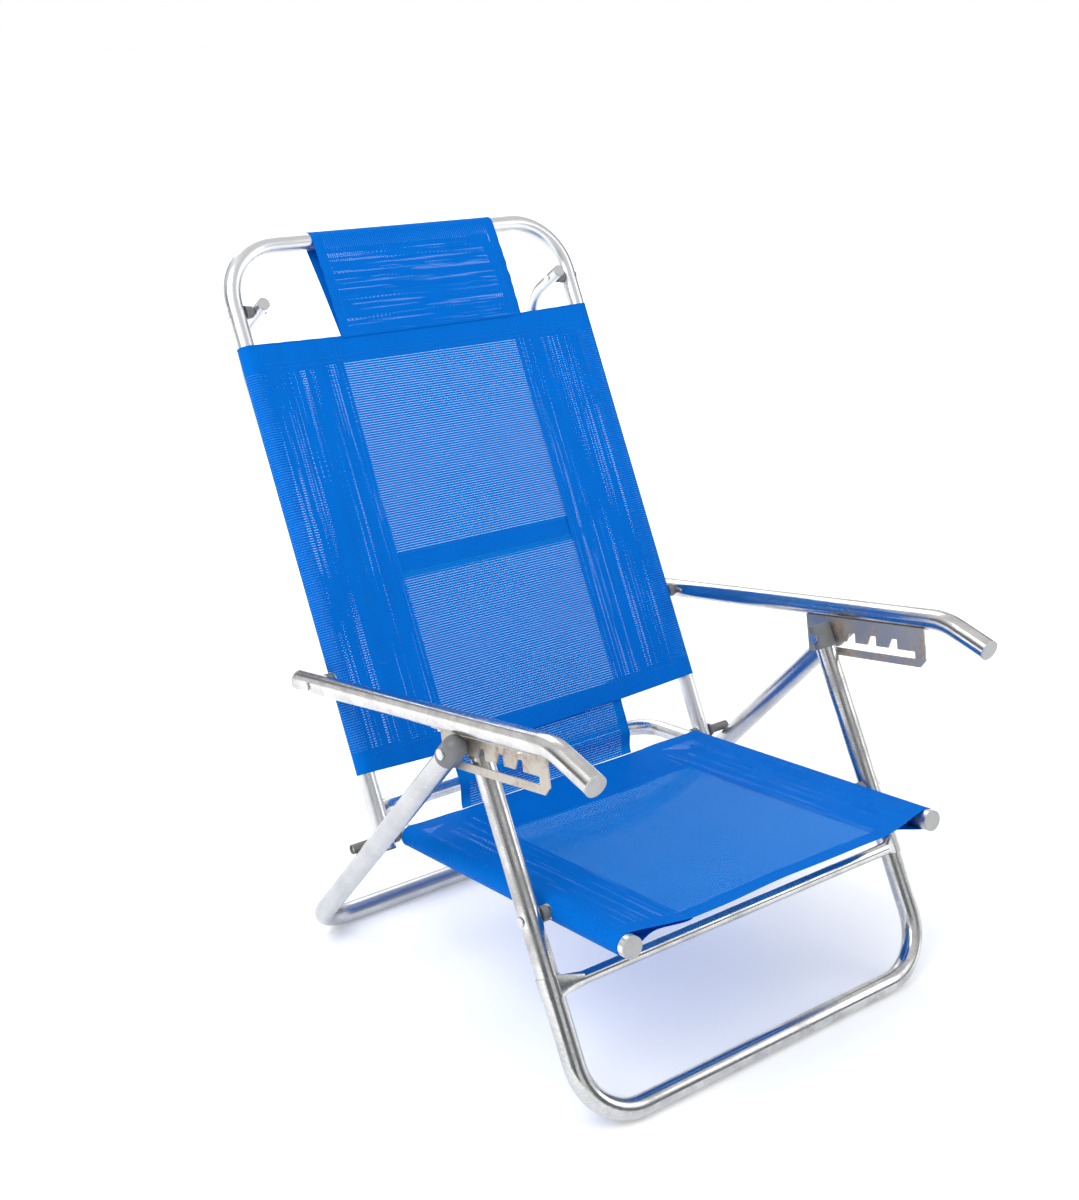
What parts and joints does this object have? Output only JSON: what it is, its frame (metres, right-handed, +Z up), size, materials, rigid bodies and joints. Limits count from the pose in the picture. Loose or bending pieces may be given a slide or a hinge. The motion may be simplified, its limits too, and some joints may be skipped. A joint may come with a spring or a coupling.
{
  "type": "beach chair",
  "caption": "Low folding beach chair with woven mesh seat and back, head pillow, curved armrests with notched plates, crossed legs and a rear rail.",
  "frame": {"origin": "centre of the bounding box on the floor, under the open chair", "axes": "+Z up, -Y the way the sitter looks, +X the sitter's left"},
  "size_m": [0.6382, 0.8195, 0.8614],
  "materials": {
    "leg_aluminium": "brushed, worn",
    "satin_aluminium": "satin",
    "mesh_blue": "woven mesh",
    "grey_plastic": "matte",
    "dark_plastic": "matte",
    "plate_steel": "dull with light rust",
    "rivet_steel": "satin"
  },
  "bodies": {
    "seat": {"seat_side_tube_left": "satin_aluminium", "seat_side_tube_right": "satin_aluminium", "seat_rear_bow": "satin_aluminium", "seat_front_plug_left": "grey_plastic", "seat_front_plug_right": "grey_plastic", "seat_sling": "mesh_blue", "seat_pivot_bolts": "rivet_steel", "seat_pivot_spacers": "grey_plastic"},
    "front_legs": {"front_leg_frame": "leg_aluminium", "front_crossbar": "leg_aluminium", "front_leg_cap_left": "grey_plastic", "front_leg_cap_right": "grey_plastic", "leg_hinge_pins_inner": "rivet_steel"},
    "rear_legs": {"rear_leg_frame": "leg_aluminium", "rear_leg_cap_left": "grey_plastic", "rear_leg_cap_right": "grey_plastic", "leg_hinge_pins_outer": "rivet_steel"},
    "back_pivot": {"back_pivot_bolts": "rivet_steel", "back_pivot_washers": "grey_plastic", "back_pivot_cones": "grey_plastic", "leg_stop_sleeves": "dark_plastic"},
    "back": {"back_frame": "satin_aluminium", "back_end_plugs": "dark_plastic", "back_sling": "mesh_blue", "lumbar_strip": "mesh_blue", "head_pillow": "mesh_blue", "rail_spacers": "grey_plastic", "rail_pivot_bolts": "rivet_steel"},
    "rail": {"rear_rail": "satin_aluminium", "rail_end_plugs": "grey_plastic"},
    "arm_pivot_left": {"armrest_bolt_left": "rivet_steel", "armrest_spacer_left": "grey_plastic"},
    "arm_left": {"armrest_tube_left": "leg_aluminium", "armrest_front_plug_left": "grey_plastic", "armrest_rear_plug_left": "grey_plastic", "notch_plate_left": "plate_steel", "plate_rivets_left": "rivet_steel"},
    "arm_pivot_right": {"armrest_bolt_right": "rivet_steel", "armrest_spacer_right": "grey_plastic"},
    "arm_right": {"armrest_tube_right": "leg_aluminium", "armrest_front_plug_right": "grey_plastic", "armrest_rear_plug_right": "grey_plastic", "notch_plate_right": "plate_steel", "plate_rivets_right": "rivet_steel"}
  },
  "joints": [
    {"name": "fold", "type": "hinge", "parent": "seat", "child": "back_pivot", "pos_m": [0, 0.03692, 0.1772], "axis": [1, 0, 0], "range_deg": [0, 88]},
    {"name": "front_leg_fold", "type": "hinge", "parent": "seat", "child": "front_legs", "pos_m": [0, -0.26784, 0.21581], "axis": [1, 0, 0], "range_deg": [0, 89]},
    {"name": "rear_leg_fold", "type": "hinge", "parent": "front_legs", "child": "rear_legs", "pos_m": [0, -0.1701, 0.388], "axis": [-1, 0, 0], "range_deg": [0, 69.64]},
    {"name": "recline", "type": "hinge", "parent": "back_pivot", "child": "back", "pos_m": [0, 0.03692, 0.1772], "axis": [-1, 0, 0], "range_deg": [0, 50]},
    {"name": "rail_swing", "type": "hinge", "parent": "back", "child": "rail", "pos_m": [0, 0.35761, 0.77502], "axis": [1, 0, 0], "range_deg": [-3, 75]},
    {"name": "arm_fold_left", "type": "hinge", "parent": "back", "child": "arm_pivot_left", "pos_m": [0, 0.13416, 0.35846], "axis": [-1, 0, 0], "range_deg": [0, 91.2]},
    {"name": "arm_recline_left", "type": "hinge", "parent": "arm_pivot_left", "child": "arm_left", "pos_m": [0, 0.13416, 0.35846], "axis": [1, 0, 0], "range_deg": [0, 34.5]},
    {"name": "arm_fold_right", "type": "hinge", "parent": "back", "child": "arm_pivot_right", "pos_m": [0, 0.13416, 0.35846], "axis": [-1, 0, 0], "range_deg": [0, 91.2]},
    {"name": "arm_recline_right", "type": "hinge", "parent": "arm_pivot_right", "child": "arm_right", "pos_m": [0, 0.13416, 0.35846], "axis": [1, 0, 0], "range_deg": [0, 34.5]}
  ],
  "couplings": [
    {"joint": "front_leg_fold", "follows": "fold", "ratio": 1},
    {"joint": "rear_leg_fold", "follows": "fold", "ratio": 0.78},
    {"joint": "arm_fold_left", "follows": "fold", "ratio": 1.025},
    {"joint": "arm_recline_left", "follows": "recline", "ratio": 0.67},
    {"joint": "arm_fold_right", "follows": "fold", "ratio": 1.025},
    {"joint": "arm_recline_right", "follows": "recline", "ratio": 0.67}
  ]
}
